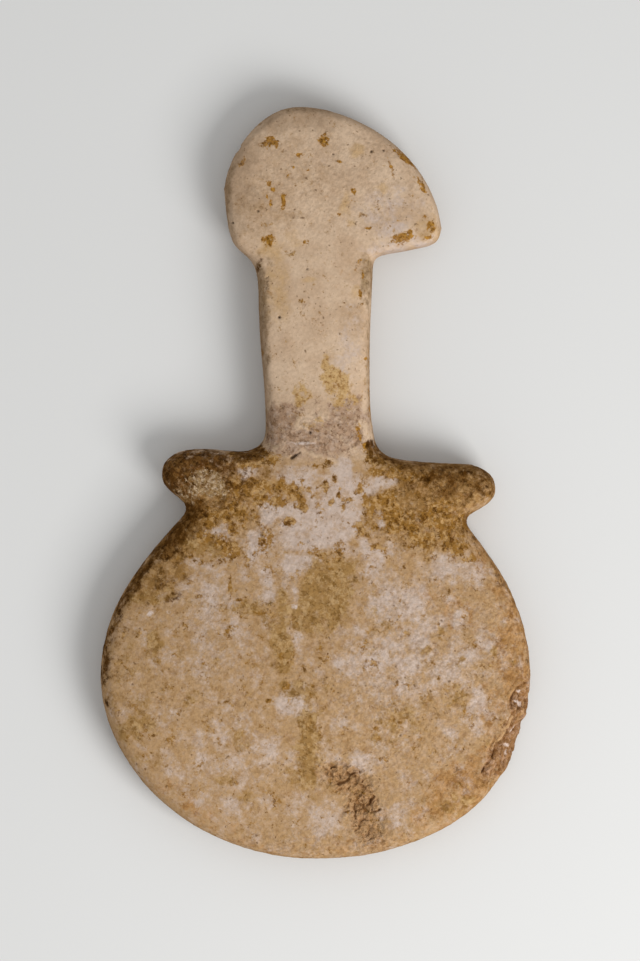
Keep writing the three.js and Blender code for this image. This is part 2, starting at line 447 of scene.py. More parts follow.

# Painted shade: a thin grey-brown darkening towards the rims of the head and the neck.
PAINTED_RIM_SHADE = [
    (-21, 77, 5, 14, 0, 0.65),
    (-4, 97, 16, 4.5, 0, 0.65),
    (-16, 91, 8, 4, 45, 0.4),
    (29.5, 69, 4, 6, 0, 0.3),
    (-14.5, 46, 3, 13, 0, 0.6),
    (-13.8, 28, 2, 14, 0, 0.6),
    (10.5, 42, 4, 15, 0, 0.25),
]

# Lilac crust round the foot of the neck.
CRUST = [
    (-9.5, 16.5, 4.5, 5, 0, 1),
    (9.5, 17.5, 5, 6, 0, 0.85),
    (0, 10.8, 14, 4.2, 0, 0.95),
    (-5, 20, 2.4, 1.8, 0, 0.8),
    (1.5, 18, 4.5, 4.5, 0, 0.55),
]

# Pale scaly deposit on the left arm.
SCALE = [
    (-29, 0, 5.3, 3.5, 0, 0.9),
    (-34, -3.3, 4.3, 2.4, -35, 0.55),
    (-26, -2, 3.7, 2.7, 0, 0.6),
]

# Small white flecks: bare crystals, one light scratch, and painted glints on the crystals of the break.
FLECKS_AND_GLINTS = [
    (-44, -34.8, 1.1, 0.8, 15, 0.85),
    (-39.1, -34.5, 0.8, 0.8, 0, 0.6),
    (-5.7, -32.6, 1.1, 1.1, 0, 0.75),
    (-3, 10.4, 3.8, 0.5, 2, 0.7),
    # painted glints on the crystals of the break
    (53.9, -55.2, 0.6, 0.5, 0, 0.9),
    (53.9, -58.5, 1.3, 0.5, -38, 0.9),
    (52.4, -65.7, 1.2, 0.5, 35, 0.9),
    (51.1, -70, 0.8, 0.6, 0, 0.8),
    (50.8, -71.8, 0.4, 0.8, 0, 0.7),
]

# The raw stone where the right rim is broken off.
BREAK = [
    (54.4, -58, 5.4, 3, 82, 1),
    (50.4, -69.5, 8.5, 3.8, 62, 1),
    (46.6, -76.2, 4, 2.2, 50, 0.7),
]

# The eroded patch low on the front.
EROSION = [
    (7.8, -78.1, 6.9, 3.7, -20, 1),
    (12.4, -86, 4.8, 4.8, 0, 1),
    (15, -93, 5.3, 5.9, 20, 0.7),
]

# Where the surface is rough, and not worn smooth as on the head and the neck.
ROUGH = [
    (0, -50, 62, 46, 0, 0.35),
    (34, -60, 30, 38, 0, 0.4),
    (52, -44, 6, 22, 8, 0.9),
    (8, -96, 34, 4, 0, 0.6),
    (-30, 1, 14, 8, 0, 0.9),
    (36, 0, 16, 7, 0, 0.6),
    (30, -12, 13, 6, 0, 0.8),
    (-21, -10, 12, 8, 0, 0.6),
    (0, 13, 16, 7, 0, 0.6),
    (5, 80, 27, 17, 0, 0.35),
]

# Narrow dents: the two ends, half the width and the depth, in millimetres.
DENTS = [
    # gouge at the foot of the neck, and pits up the neck
    ((-6.3, 6.6), (-5.3, 7.3), 0.5, 0.5),
    ((-5.3, 7.3), (-4.1, 8), 0.3, 0.3),
    ((-1.5, 13.4), (-1.4, 13.3), 0.4, 0.5),
    ((-9.7, 43.9), (-9.6, 43.8), 0.4, 0.5),
    ((-2.3, 56.7), (-2.2, 56.6), 0.3, 0.4),
    # ticks at the left of the neck
    ((-13.2, 54.2), (-12.5, 54.6), 0.15, 0.25),
    ((-13.1, 53.3), (-12.5, 53.6), 0.15, 0.25),
    ((-13.1, 52.5), (-12.6, 52.7), 0.15, 0.2),
    ((-13.3, 51.4), (-12.9, 51.7), 0.15, 0.2),
    # pits and cracks on the head
    ((14.8, 88), (14.8, 87.9), 0.35, 0.5),
    ((18, 88.3), (18.1, 88.2), 0.3, 0.4),
    ((4.6, 87.2), (4.7, 87.1), 0.3, 0.4),
    ((-15.3, 72.1), (-15.2, 72), 0.35, 0.4),
    ((-22, 69), (-21.9, 68.9), 0.3, 0.4),
    ((9.7, 92.9), (13.3, 91.3), 0.2, 0.15),
    ((13.4, 90.6), (15.8, 90), 0.2, 0.15),
]

# Crevices of the eroded patch and of the break, in the same way.
CREVICES = [
    ((2.2, -75.2), (4.6, -77.9), 0.35, 0.4),
    ((6, -80), (8.6, -78.8), 0.45, 0.7),
    ((5.2, -82.1), (6.8, -81.1), 0.35, 0.4),
    ((9.6, -77.2), (11.6, -77), 0.3, 0.4),
    ((10.6, -82.4), (12.8, -83.4), 0.3, 0.4),
    ((14, -85.4), (15.3, -83.2), 0.45, 0.7),
    ((15, -87.5), (17, -86.7), 0.35, 0.5),
    ((7.2, -87.6), (9, -86.9), 0.3, 0.4),
    ((10.2, -85.3), (10.4, -89.3), 0.35, 0.5),
    ((10.6, -92.3), (11.7, -91.4), 0.3, 0.4),
    ((57, -52.8), (53.4, -54.5), 0.35, 0.5),
    ((53.4, -54.5), (51.8, -58), 0.35, 0.5),
    ((51.8, -58), (52.2, -62), 0.35, 0.4),
    ((53.7, -65.2), (50.7, -68.3), 0.35, 0.5),
    ((50.7, -68.3), (47.5, -71.7), 0.4, 0.6),
    ((47.5, -71.7), (45.6, -74.5), 0.35, 0.4),
]

# Ridges that the break has left, with their height in place of a depth.
RIDGES = [
    ((55.6, -58.8), (55, -61.6), 0.45, 0.25),
    ((52.3, -62.2), (50.5, -65.2), 0.45, 0.4),
    ((50.5, -65.2), (48.7, -67.9), 0.45, 0.4),
    ((48.7, -67.9), (46.8, -70.6), 0.45, 0.3),
]

# Nicks in the rim: a dark one in the head, and a clean one in the break.
DARK_NICK = ((-20.8, 88.4), (-20.1, 89.5), 0.4, 0.6)
CLEAN_NICK = ((56, -63.6), (55.2, -64.2), 1, 0.7)
NICKS = [DARK_NICK, CLEAN_NICK]

# The edges of the patches: how far out of its oval a patch fades away, how far in it is whole, and how far
# its edge wanders, as a share of its half width and in millimetres at the most. It wanders in two waves,
# each with its length in millimetres and its share.
PATCH_END = 1.5
PATCH_CORE = 0.4
WANDER_SHARE = 0.7
WANDER_MOST = 2.6
WANDER_WAVES = ((5, 0.8), (1.9, 0.6))

# Where a narrow dent fades away and where it is at its deepest, as shares of half its width.
DENT_END = 1.4
DENT_CORE = 0.2

# Amounts of wear below which the stone is whole, and above which it is touched, marked and crumbly, and how
# far round a dent it counts as marked, in millimetres.
WHOLE_BELOW = 0.2
TOUCHED_ABOVE = 0.02
MARKED_ABOVE = 0.1
CRUMBLY_ABOVE = 0.5
DENT_MARGIN = 0.6

# Relief, in millimetres: the slow swell of the whole stone, the wrinkles where it is rough and the share of
# them that is left where it is worn smooth, the lumps and crumbs of the eroded patch, the small faces of the
# break, and how far crevices and ridges bend. Sizes in pairs come with the share that each has.
SWELL = 0.16
SWELL_SIZE = 14
WRINKLE_SIZES = ((2.4, 1.0), (1.3, 0.6))
WRINKLE_HEIGHT = 0.3
WRINKLE_MIDDLE = 0.3
WRINKLE_LEAST = 0.1
EROSION_DEPTH = 0.6
LUMP_SIZES = ((2.8, 1.0), (1.4, 0.5))
LUMP_HEIGHT = 1.0
CRUMB_SIZE = 1.6
CRUMB_SLOPE = 0.9
CRUMB_TOP = 0.15
BREAK_STEP = 0.4
FACET_SIZE = 3.0
FACET_SLOPE = 0.7
DENT_BEND = 0.5
DENT_BEND_SIZE = 1.4

# Each small face gets its tilt from a random cell. The middles of the faces are spread out by a factor, so
# that hardly any two share a cell, and a value in the middle is no tilt.
FACET_SCATTER = 7
CELL_MIDDLE = Vector((0.5, 0.5, 0.5))

# Smoothing draws the rim in by this much, in millimetres.
DRAWN_IN = 0.25

# Fades, each from the level where there is nothing yet to the level where there is all of it.

# By how far the surface looks up: the relief of the front, the stains of the front, and the brown crust and
# painted shade of the rim, which darken all that turns from up
RELIEF_FADE = (0, 0.5)
FRONT_FADE = (-0.6, 0.1)
RIM_FADE = (0.5, 0.0)

# By the height of the lumps: the dirt and painted shade in the creases between wrinkles and between crumbs
WRINKLE_CREASE = (0.24, 0.04)
CRUMB_CREASE = (0.25, -0.15)

# By depth or height in millimetres: the dirt and painted shade in creases along crevices, in the hollows and
# in the pits, and the painted highlight on the ridges
CREVICE_CREASE = (0.1, 0.5)
HOLLOW_FADE = (0.3, 1.0)
PIT_FADE = (0.1, 0.4)
RIDGE_FADE = (0.1, 0.3)

# By the amount of break: the step down into it
BREAK_FADE = (0.35, 0.6)

# By the height up the figure in millimetres: the tan of the body, and the lower body, which has less chalk
BODY_FADE = (10, 2)
LOW_FADE = (-16, -26)

# The back has clouds of tan and of chalk, with their size in millimetres. The line where the tan of the body
# begins spreads and swings by so many millimetres there, and chalk has a mean amount and a swing.
CLOUD_SIZE = 20
BACK_SPREAD = 16
BACK_SWING = 24
BACK_CHALK = 0.35
BACK_CHALK_SWING = 0.6

# The amount of a stain where the stone is clear of it. It is below zero, so that few stray grains show there,
# or hardly any at the lower of the two.
CLEAR = -0.3
CLEAN = -0.4

# What the whole of the body has more of, and where there is less chalk: all over, on the lower body, and
# under darker stains. The eroded patch and the break count as rougher than any other part.
CHALK_ON_BODY = 0.55
OLIVE_ON_BODY = 0.15
OCHRE_ON_BODY = 0.2
CHALK_LESS = 0.3
CHALK_LESS_LOW = 0.3
CHALK_LESS_COVERED = 0.4
BROKEN_ROUGHNESS = 1.5

# Noise is turned, so that nothing of its pattern lies along the axes. The shifts keep patterns of different
# things from falling together.
NOISE_TURN = Euler((0.5, 0.4, 0.6))
LUMP_SHIFT = 4
BEND_SHIFT = 21
CLOUD_SHIFT = 31
WANDER_SHIFTS = (13, 29)
GRAIN_SHIFTS = (17, 43)
FLECK_SHIFT = 7
FIRST_STAIN_SHIFT = 61
NEXT_STAIN_SHIFT = 6


# The stone's mesh

def merged_copy(name):
    """A piece with the solid's own mesh, its loose triangles joined up."""
    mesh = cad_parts[name].data.copy()
    mesh.materials.clear()
    shape = bmesh.new()
    shape.from_mesh(mesh)
    bmesh.ops.remove_doubles(shape, verts=shape.verts, dist=WELD)
    shape.to_mesh(mesh)
    shape.free()
    piece = bpy.data.objects.new("stone", mesh)
    bpy.context.scene.collection.objects.link(piece)
    return piece


def lay_even_grid(piece):
    """Gives the whole piece small even faces in place of the solid's long ones."""
    grid = piece.modifiers.new("even_grid", "REMESH")
    grid.mode = "VOXEL"
    grid.voxel_size = GRID
    evaluated = piece.evaluated_get(bpy.context.evaluated_depsgraph_get())
    mesh = bpy.data.meshes.new_from_object(evaluated)
    piece.modifiers.clear()
    piece.data = mesh


def smooth_step(value, start, end):
    """A soft step from 0 at the start to 1 at the end."""
    share = np.clip((value - start) / (end - start), 0, 1)
    return share * share * (3 - 2 * share)


def patch_amounts(points, patches, wander=(0, 0)):
    """How strongly a kind of stain lies on each point, from 0 where it is clear to 1 where it is covered.

    Wander shifts the points sideways, by a share of the patch's own size, so that its edge is irregular.
    """
    clear = np.ones(len(points))
    for x, y, half_length, half_width, turn, strength in patches:
        cosine = math.cos(math.radians(turn))
        sine = math.sin(math.radians(turn))
        swing = min(WANDER_SHARE * min(half_length, half_width), WANDER_MOST)
        right = points[:, 0] + swing * wander[0] - x
        up = points[:, 1] + swing * wander[1] - y
        along = (right * cosine + up * sine) / half_length
        across = (up * cosine - right * sine) / half_width
        clear *= 1 - strength * smooth_step(np.hypot(along, across), PATCH_END, PATCH_CORE)
    return 1 - clear


def dent_depths(points, dents, margin=0.0):
    """How deep the narrow dents are at each point, in millimetres, if they were wider by the margin."""
    depths = np.zeros(len(points))
    for start, end, half_width, depth in dents:
        start = np.array(start)
        run = np.array(end) - start
        share = np.clip((points[:, :2] - start) @ run / (run @ run), 0, 1)
        away = np.linalg.norm(points[:, :2] - start - share[:, None] * run, axis=1)
        reach = half_width + margin
        depths = np.maximum(depths, depth * smooth_step(away, DENT_END * reach, DENT_CORE * reach))
    return depths


def above_rim(points):
    return points[:, 2] > RIM_LEVEL / MM


def is_detailed(points):
    """Whether a point is in the break, or in other fine marks of the front."""
    marks = patch_amounts(points, BREAK + EROSION + RUST + FLECKS_AND_GLINTS) + dent_depths(points, DENTS, DENT_MARGIN)
    broken = patch_amounts(points, BREAK)
    return (marks > MARKED_ABOVE) & above_rim(points) | (broken > MARKED_ABOVE)


def is_crumbly(points):
    return (patch_amounts(points, EROSION) > CRUMBLY_ABOVE) & above_rim(points)


def refine(shape, edges):
    """Halves the edges, and the faces between them."""
    bmesh.ops.subdivide_edges(shape, edges=edges, cuts=1, use_grid_fill=True)


def refine_where(shape, wanted):
    """Halves the edges whose middles are wanted."""
    edges = list(shape.edges)
    middles = np.array([(edge.verts[0].co + edge.verts[1].co)[:] for edge in edges]) / (2 * MM)
    refine(shape, [edge for edge, fine in zip(edges, wanted(middles)) if fine])


def smooth(shape, verts, rounds, axes="xyz"):
    """Draws each vertex towards its neighbours, along those axes alone."""
    along = {"use_axis_" + axis: True for axis in axes}
    for _ in range(rounds):
        bmesh.ops.smooth_vert(shape, verts=verts, factor=SMOOTH_FACTOR, **along)


def smooth_and_refine(piece):
    """Takes the facets out of the stone, most of all out of its flat faces, and makes the front finer."""
    shape = bmesh.new()
    shape.from_mesh(piece.data)
    points = np.array([vertex.co[:] for vertex in shape.verts]) / MM
    worn = patch_amounts(points, BREAK + EROSION)
    whole = [vertex for vertex, amount in zip(shape.verts, worn) if amount < WHOLE_BELOW]
    smooth(shape, shape.verts, FIRST_ROUNDS)
    smooth(shape, whole, WHOLE_ROUNDS)
    shape.normal_update()
    flat = [vertex for vertex in whole if abs(vertex.normal.z) > FLAT_FROM]
    smooth(shape, flat, FLAT_ROUNDS, "z")
    refine(shape, [edge for edge in shape.edges if min(end.co.z for end in edge.verts) > RIM_LEVEL])
    smooth(shape, shape.verts, FINE_ROUNDS)
    refine_where(shape, is_detailed)
    refine_where(shape, is_crumbly)
    bmesh.ops.triangulate(shape, faces=[face for face in shape.faces if len(face.verts) > 4])
    shape.to_mesh(piece.data)
    shape.free()


# Relief

def noise_at(points, wavelength, shift=0):
    """Smooth noise of that wavelength, in millimetres, from -1 to 1."""
    places = points @ np.array(NOISE_TURN.to_matrix()) / wavelength + shift
    return np.array([noise.noise(place, noise_basis="PERLIN_NEW") for place in places])


def lumps_at(points, sizes):
    """Uneven lumps with sharp creases between them, from 0 in the creases."""
    return sum(share * abs(noise_at(points, size, LUMP_SHIFT)) for size, share in sizes)


def facets_at(points, size, slope):
    """Small flat faces, each tilted its own way, as a break leaves them."""
    heights = []
    for point in points:
        place = Vector(point) / size
        middle = noise.voronoi(place)[1][0]
        tilt = noise.cell_vector(FACET_SCATTER * middle) - CELL_MIDDLE
        heights.append(slope * size * tilt.dot(place - middle))
    return np.array(heights)


def add_crumbs(points, facing, relief, creased):
    """Adds the lumps and crumbs of the eroded patch, with their tops worn off."""
    eroded = patch_amounts(points, EROSION) * facing
    worn = np.flatnonzero(eroded > TOUCHED_ABOVE)
    lumps = LUMP_HEIGHT * lumps_at(points[worn], LUMP_SIZES)
    heights = lumps + facets_at(points[worn], CRUMB_SIZE, CRUMB_SLOPE)
    relief[worn] += eroded[worn] * np.minimum(heights - EROSION_DEPTH, CRUMB_TOP)
    creased[worn] = np.maximum(creased[worn], eroded[worn] * smooth_step(heights, *CRUMB_CREASE))


def add_break(points, facing, relief):
    """Adds the small faces of the break, a step below the whole stone."""
    broken = patch_amounts(points, BREAK)
    raw = np.flatnonzero(broken > TOUCHED_ABOVE)
    inside = smooth_step(broken[raw], *BREAK_FADE) * facing[raw]
    relief[raw] += inside * (facets_at(points[raw], FACET_SIZE, FACET_SLOPE) - BREAK_STEP)


def add_dents(points, facing, relief, creased):
    """Adds the crevices and the ridges, which bend, and the straight dents and nicks."""
    bent = points + DENT_BEND * noise_at(points, DENT_BEND_SIZE, BEND_SHIFT)[:, None]
    crevices = dent_depths(bent, CREVICES) * facing
    np.maximum(creased, smooth_step(crevices, *CREVICE_CREASE), out=creased)
    relief += dent_depths(bent, RIDGES) * facing - crevices
    relief -= dent_depths(points, DENTS) * facing + dent_depths(points, NICKS)


def relief_of(points, facing):
    """How far each point stands out of the smooth stone, in millimetres, and how far it is in a crease."""
    rough = patch_amounts(points, ROUGH)
    wrinkles = lumps_at(points, WRINKLE_SIZES)
    relief = SWELL * noise_at(points, SWELL_SIZE)
    share = WRINKLE_LEAST + (1 - WRINKLE_LEAST) * rough
    relief += WRINKLE_HEIGHT * (wrinkles - WRINKLE_MIDDLE) * share
    # how far each point is in a crease, for the dirt and painted shade laid there
    creased = rough * smooth_step(wrinkles, *WRINKLE_CREASE)
    add_crumbs(points, facing, relief, creased)
    add_break(points, facing, relief)
    add_dents(points, facing, relief, creased)
    return relief, creased


def vertex_rows(mesh, name):
    """The places or the normals of the vertices, one row for each."""
    values = np.empty(3 * len(mesh.vertices), np.float32)
    mesh.vertices.foreach_get(name, values)
    return values.reshape(-1, 3)


def carve_relief(piece):
    """Moves each vertex out or in by the relief, and never out of the solid's box."""
    mesh = piece.data
    places = vertex_rows(mesh, "co")
    normals = vertex_rows(mesh, "normal")
    points = places / MM
    facing = smooth_step(normals[:, 2], *RELIEF_FADE)
    relief, creased = relief_of(points, facing)
    rise = relief + DRAWN_IN * (1 - normals[:, 2] ** 2)
    moved = places + normals * rise[:, None] * MM
    moved = np.clip(moved, cad_box[0], cad_box[1])
    mesh.vertices.foreach_set("co", moved.astype(np.float32).ravel())
    mesh.update()
    return points, normals, relief, creased


# Stains, wear and painted light, as amounts on the vertices

def keep_amounts(mesh, name, amounts):
    kept = mesh.attributes.new(name, "FLOAT", "POINT")
    kept.data.foreach_set("value", amounts.astype(np.float32))


def wander_at(points, shift):
    return sum(share * noise_at(points, length, shift) for length, share in WANDER_WAVES)


def lay_stains(mesh, points, normals, relief, creased):
    """Keeps how much of each stain, of each kind of wear and of painted shade and highlight lies on each
    vertex.
    """
    height = points[:, 1]
    on_front = smooth_step(normals[:, 2], *FRONT_FADE)
    on_back = 1 - on_front
    cloud = noise_at(points, CLOUD_SIZE, CLOUD_SHIFT)
    start, end = BODY_FADE
    more = BACK_SPREAD * on_back
    body = smooth_step(height + BACK_SWING * on_back * cloud, start + more, end - more)
    low = smooth_step(height, *LOW_FADE)
    behind = on_back * (BACK_CHALK + BACK_CHALK_SWING * cloud)
    wander = [wander_at(points, shift) for shift in WANDER_SHIFTS]
    covered = patch_amounts(points, WASH + UMBER, wander) * on_front

    def patches(kind, clear, share=1.0):
        """The patches of one kind, on the front, and the amount where the stone is clear of them."""
        return clear + (1 - clear) * share * patch_amounts(points, kind, wander) * on_front

    chalk = (
        patches(CHALK, CLEAR, 1 - CHALK_LESS_LOW * low)
        + CHALK_ON_BODY * body - CHALK_LESS + behind - CHALK_LESS_COVERED * covered
    )
    amounts = {
        "rosy": patches(ROSY, CLEAR),
        "tan": body,
        "faded": patches(FADED, CLEAR),
        # grime, and painted shade along the rims of the head and the neck
        "grime_and_shade": patches(GRIME_AND_SHADE, CLEAR),
        # golden brown stain, with painted warm light on the right and lower rims
        "gold_and_rim_light": patches(GOLD_AND_RIM_LIGHT, CLEAR),
        "wash": patches(WASH, CLEAR) - behind,
        "crust": patches(CRUST, CLEAR),
        "chalk": chalk,
        "olive": patches(OLIVE, CLEAR) + OLIVE_ON_BODY * body,
        "amber": patches(AMBER, CLEAN),
        "worn": patches(EROSION, CLEAN),
        "ochre": patches(OCHRE, CLEAN) + OCHRE_ON_BODY * body,
        "rust": patches(RUST, CLEAN),
        "umber": patches(UMBER, CLEAN),
        "scale": patches(SCALE, CLEAN),
        # white flecks, and painted glints in the break
        "fleck_and_glint": patches(FLECKS_AND_GLINTS, CLEAN),
        "raw": patches(BREAK, CLEAR),
        # painted shade towards the rims of the head and the neck
        "painted_rim_shade": patches(PAINTED_RIM_SHADE, CLEAR),
        "rough": patch_amounts(points, ROUGH) + BROKEN_ROUGHNESS * patch_amounts(points, EROSION + BREAK),
        # dirt and painted shade in the hollows
        "hollow_dirt_and_shade": smooth_step(-relief, *HOLLOW_FADE),
        # dirt and painted shade in the creases
        "crease_dirt_and_shade": creased,
        # brown crust and painted shade, darker wherever the surface turns from up
        "edge": smooth_step(normals[:, 2], *RIM_FADE),
        # painted highlight on the ridges of the break
        "ridge_highlight": smooth_step(dent_depths(points, RIDGES), *RIDGE_FADE) * on_front,
        # dirt and painted shade in the pits, the gouge and the dark nick
        "pit_dirt_and_shade": smooth_step(dent_depths(points, DENTS + [DARK_NICK]), *PIT_FADE) * on_front,
    }
    for name, values in amounts.items():
        keep_amounts(mesh, name, values)


# Marble

def tint(red, green, blue):
    """A colour given as screen values from 0 to 255, by the standard curve of screens."""
    shares = [value / 255 for value in (red, green, blue)]
    return (*[share / 12.92 if share < 0.04 else ((share + 0.055) / 1.055) ** 2.4 for share in shares], 1)


# The bare stone of the head and the neck, in two tones: the size of their clouds in millimetres, and the
# levels between which one tone passes into the other
PALE = tint(202, 176, 149)
PALE_ROSE = tint(189, 161, 133)
ROSE_SIZE = 8
ROSE_DETAIL = 4
ROSE_LEVELS = (0.35, 0.65)

# Noise in the material: its middle, how rough it is, and how detailed and rough it is along ragged edges
NOISE_MIDDLE = 0.5
NOISE_ROUGHNESS = 0.6
EDGE_DETAIL = 5
EDGE_ROUGHNESS = 0.75

# The amount of a stain at which its edge lies
EDGE_LEVEL = 0.5

# Grains in the stains: how much of a stain they cover, and how ragged and how soft they are. Their sizes
# are in millimetres.
GRAIN_COVER = 0.28
GRAIN_RAGGED = 5.5
GRAIN_SOFT = 0.3
COARSE = 2.6
MIDDLE = 1.7
FINE = 1.0

# Stains from the lowest to the uppermost. Each has its colour, how much of what is under it it covers, the
# size of its blotches in millimetres, how ragged and how soft its edge is, the size of its grains, and
# the colours and the shares of its dark and its pale grains.
Stain = namedtuple("Stain", "name colour share size ragged soft grain dark pale")
STAINS = [
    Stain("rosy", tint(172, 142, 110), 0.8, 6, 3, 0.5, COARSE,
          (tint(140, 108, 74), 0.3), (tint(200, 176, 152), 0.35)),
    Stain("tan", tint(172, 139, 101), 1, 6, 2, 0.45, COARSE,
          (tint(132, 92, 44), 0.26), (tint(192, 165, 142), 0.28)),
    Stain("faded", tint(188, 151, 98), 0.6, 3, 2, 0.7, COARSE,
          (tint(150, 112, 62), 0.2), (tint(200, 170, 124), 0.2)),
    # grime, and painted shade along the rims of the head and the neck
    Stain("grime_and_shade", tint(122, 96, 60), 0.7, 2.5, 3, 0.55, FINE,
          (tint(74, 52, 22), 0.5), (tint(180, 154, 120), 0.35)),
    # golden brown stain, with painted warm light on the right and lower rims
    Stain("gold_and_rim_light", tint(162, 118, 69), 0.75, 4, 4, 0.4, COARSE,
          (tint(108, 70, 32), 0.5), (tint(200, 164, 126), 0.4)),
    Stain("wash", tint(132, 96, 48), 0.85, 4, 4, 0.4, COARSE,
          (tint(72, 44, 12), 0.6), (tint(188, 152, 106), 0.5)),
    Stain("crust", tint(162, 132, 108), 0.85, 3, 4, 0.4, MIDDLE,
          (tint(94, 66, 38), 0.6), (tint(190, 167, 149), 0.5)),
    Stain("chalk", tint(193, 175, 163), 0.85, 5, 4, 0.6, COARSE,
          (tint(150, 112, 66), 0.25), (tint(203, 187, 178), 0.25)),
    Stain("olive", tint(150, 115, 66), 0.88, 4, 4, 0.4, COARSE,
          (tint(104, 72, 28), 0.65), (tint(190, 158, 114), 0.6)),
    Stain("worn", tint(164, 126, 86), 0.8, 3, 3, 0.35, FINE,
          (tint(116, 78, 40), 0.5), (tint(196, 160, 122), 0.4)),
    Stain("amber", tint(180, 142, 82), 0.75, 2.2, 4, 0.4, FINE,
          (tint(122, 80, 32), 0.7), (tint(204, 174, 128), 0.5)),
    Stain("ochre", tint(140, 100, 44), 0.95, 3.2, 6, 0.35, MIDDLE,
          (tint(74, 42, 8), 0.8), (tint(198, 162, 114), 0.6)),
    Stain("rust", tint(148, 101, 32), 0.92, 1.2, 5, 0.25, FINE,
          (tint(84, 52, 8), 0.8), (tint(196, 146, 62), 0.5)),
    Stain("umber", tint(78, 48, 14), 0.97, 2.8, 4, 0.45, MIDDLE,
          (tint(42, 22, 2), 0.65), (tint(146, 106, 58), 0.5)),
    Stain("scale", tint(156, 128, 90), 0.85, 1.6, 5, 0.25, FINE,
          (tint(88, 60, 26), 0.7), (tint(200, 178, 152), 0.65)),
    Stain("raw", tint(142, 102, 64), 0.9, 2, 4, 0.4, MIDDLE,
          (tint(86, 52, 22), 0.7), (tint(206, 170, 142), 0.45)),
    # painted shade towards the rims of the head and the neck
    Stain("painted_rim_shade", tint(128, 104, 80), 0.6, 6, 1.5, 0.6, COARSE,
          (tint(96, 70, 42), 0.2), (tint(180, 154, 126), 0.25)),
]

# Wear and painted light on top of the stains, each kind with its colour and how much of what is under it it
# covers: dirt and painted shade in hollows, creases and pits and on the rim, a painted highlight on ridges,
# and white flecks with painted glints
HOLLOW_DIRT_AND_SHADE = (tint(100, 66, 32), 0.3)
CREASE_DIRT_AND_SHADE = (tint(108, 66, 22), 0.5)
RIM_CRUST_AND_SHADE = (tint(104, 74, 42), 0.3)
RIDGE_HIGHLIGHT = (tint(206, 168, 122), 0.4)
FLECK_AND_GLINT_WHITE = (tint(214, 197, 187), 0.9)
SPECK_BROWN = (tint(92, 66, 36), 0.6)
PIT_DIRT_AND_SHADE = (tint(50, 32, 14), 0.85)

# The flecks' size in millimetres, and how ragged and how soft their edge is
FLECK_SIZE = 1
FLECK_RAGGED = 2.5
FLECK_SOFT = 0.5

# Specks all over the stone: their size in millimetres, and the levels where they begin and where they are
# whole
SPECK_SIZE = 1.2
SPECK_DETAIL = 1
SPECK_LEVELS = (0.7, 0.76)

# The crystals of the marble: their size in millimetres, and how they change the tone of the stone, from dark
# to pale, by a share that is larger where it is rough
CRYSTAL_SIZE = 0.9
CRYSTAL_DETAIL = 3
CRYSTAL_LEVELS = (0.3, 0.7)
CRYSTAL_TONES = (0.84, 1.16)
CRYSTAL_SHARES = (0.45, 1.2)

# The finish: the roughness of the dark and of the pale crystals, and the gloss. Then the height of the
# crystals, a share of it everywhere and the rest where the stone is rough.
ROUGHNESS = (0.7, 0.95)
GLOSS = 0.01
BUMP_HEIGHT = 0.5 * MM
BUMP_STRENGTH = 0.8
BUMP_EVERYWHERE = 0.35
BUMP_WHERE_ROUGH = 0.65


def add_node(tree, kind, inputs=(), **settings):
    """A node with its settings, and each input a value or another node's output."""
    made = tree.nodes.new(kind)
    for name, value in settings.items():
        setattr(made, name, value)
    for name, value in dict(inputs).items():
        if isinstance(value, bpy.types.NodeSocket):
            tree.links.new(value, made.inputs[name])
        else:
            made.inputs[name].default_value = value
    return made


def worked_out(tree, first, operation, second):
    return add_node(tree, "ShaderNodeMath", {0: first, 1: second}, operation=operation).outputs[0]


def spread(tree, value, low, high, to_low=0.0, to_high=1.0):
    """The value, brought from between its low and its high to between the other two by a soft step."""
    inputs = {"Value": value, "From Min": low, "From Max": high, "To Min": to_low, "To Max": to_high}
    return add_node(tree, "ShaderNodeMapRange", inputs, interpolation_type="SMOOTHSTEP").outputs[0]


def mixed(tree, share, under, over, blend="MIX"):
    """The colour under, covered by the colour over by that share."""
    inputs = {0: share, 6: under, 7: over}
    return add_node(tree, "ShaderNodeMix", inputs, data_type="RGBA", blend_type=blend).outputs[2]


def noise_value(tree, position, wavelength, detail):
    inputs = {"Vector": position, "Scale": 1 / wavelength, "Detail": detail, "Roughness": NOISE_ROUGHNESS}
    return add_node(tree, "ShaderNodeTexNoise", inputs).outputs["Fac"]


def ragged_edge_group():
    """A node group that turns a soft amount of stain into a mask with a ragged edge."""
    group = bpy.data.node_groups.new("ragged_edge", "ShaderNodeTree")
    sockets = [
        ("Amount", "NodeSocketFloat"), ("Position", "NodeSocketVector"), ("Fineness", "NodeSocketFloat"),
        ("Shift", "NodeSocketFloat"), ("Raggedness", "NodeSocketFloat"), ("Softness", "NodeSocketFloat"),
    ]
    for name, kind in sockets:
        group.interface.new_socket(name, in_out="INPUT", socket_type=kind)
    group.interface.new_socket("Mask", in_out="OUTPUT", socket_type="NodeSocketFloat")
    given = group.nodes.new("NodeGroupInput").outputs
    shifted = add_node(group, "ShaderNodeVectorMath", {0: given["Position"], 1: given["Shift"]}).outputs[0]
    inputs = {
        "Vector": shifted, "Scale": given["Fineness"], "Detail": EDGE_DETAIL, "Roughness": EDGE_ROUGHNESS,
    }
    grain = add_node(group, "ShaderNodeTexNoise", inputs).outputs["Fac"]
    centred = worked_out(group, grain, "SUBTRACT", NOISE_MIDDLE)
    ragged = worked_out(group, centred, "MULTIPLY", given["Raggedness"])
    level = worked_out(group, given["Amount"], "ADD", ragged)
    low = worked_out(group, EDGE_LEVEL, "SUBTRACT", given["Softness"])
    high = worked_out(group, EDGE_LEVEL, "ADD", given["Softness"])
    add_node(group, "NodeGroupOutput", {"Mask": spread(group, level, low, high)})
    return group


